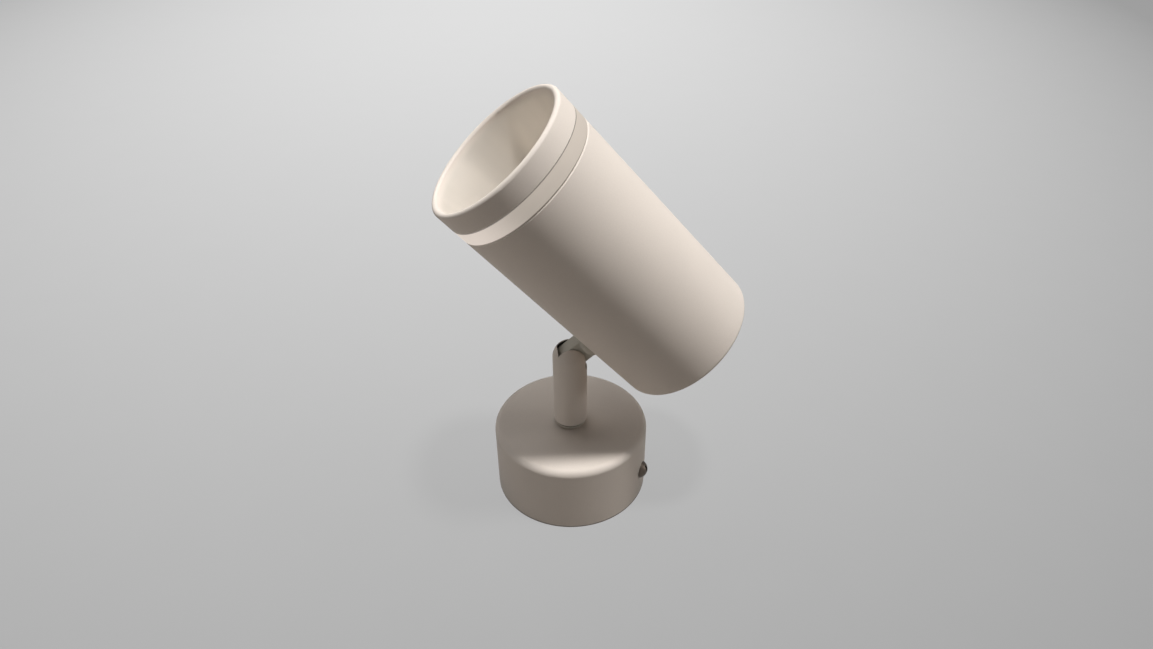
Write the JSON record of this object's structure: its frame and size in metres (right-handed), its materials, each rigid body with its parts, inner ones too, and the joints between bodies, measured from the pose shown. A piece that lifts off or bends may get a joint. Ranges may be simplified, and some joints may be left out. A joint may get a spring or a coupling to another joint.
{
  "type": "surface mounted ceiling spotlight",
  "caption": "Ceiling spotlight: a cylindrical head with a frosted ring and a glare cone, on a swivel stem with a tilt knuckle, over a round surface mounted base.",
  "frame": {"origin": "centre of the mounting face, on the axis of the round base and of the stem", "axes": "+Z points from the mounting face to the head, as pictured, so it points down when the part is on a ceiling; +X runs along the mounting bracket, through its two slots and the two cover screws"},
  "size_m": [0.1025, 0.0848, 0.1625],
  "materials": {
    "sand_paint": "satin warm off-white powder coat",
    "black_nylon": "matt black",
    "zinc_steel": "zinc plated",
    "bronze_steel": "dark bronze plated",
    "brass": "plain",
    "white_ceramic": "unglazed white",
    "lamp_white": "satin white",
    "lens_clear": "lightly frosted",
    "frosted_acrylic": "frosted",
    "brown_insulation": "matt",
    "blue_insulation": "matt",
    "earth_insulation": "matt green with a yellow stripe"
  },
  "bodies": {
    "base": {"base_cover": "sand_paint", "mounting_bracket": "zinc_steel", "cover_screws": "bronze_steel", "terminal_block": "white_ceramic", "terminal_clamps": "brass", "terminal_screws": "zinc_steel", "block_screw": "zinc_steel", "earth_screw": "zinc_steel", "cover_earth_screw": "zinc_steel", "earth_lugs": "zinc_steel", "earth_lead": "earth_insulation", "base_live_lead": "brown_insulation", "base_neutral_lead": "blue_insulation", "stem_bush": "black_nylon", "stop_pin": "zinc_steel"},
    "stem": {"stem": "sand_paint", "threaded_tube": "zinc_steel", "swivel_washer": "black_nylon", "stop_washer": "zinc_steel", "spring_washer": "zinc_steel", "tube_nuts": "brass", "pivot_screw": "zinc_steel", "tilt_washers": "black_nylon", "stem_live_lead": "brown_insulation", "stem_neutral_lead": "blue_insulation"},
    "head": {"knuckle": "sand_paint", "head_housing": "sand_paint", "neck_washer": "zinc_steel", "neck_nut": "brass", "holder_bracket": "zinc_steel", "lampholder": "white_ceramic", "holder_screws": "zinc_steel", "holder_contacts": "brass", "lamp_body": "lamp_white", "lamp_lens": "lens_clear", "lamp_pins": "brass", "front_bezel": "sand_paint", "frosted_ring": "frosted_acrylic", "head_live_lead": "brown_insulation", "head_neutral_lead": "blue_insulation"}
  },
  "joints": [
    {"name": "pan", "type": "hinge", "parent": "base", "child": "stem", "pos_m": [0, 0, 0.03], "axis": [0, 0, 1], "range_deg": [-165, 165]},
    {"name": "tilt", "type": "hinge", "parent": "stem", "child": "head", "pos_m": [0, 0, 0.0605], "axis": [-0.5, 0.866, 0], "range_deg": [-50, 40]}
  ]
}
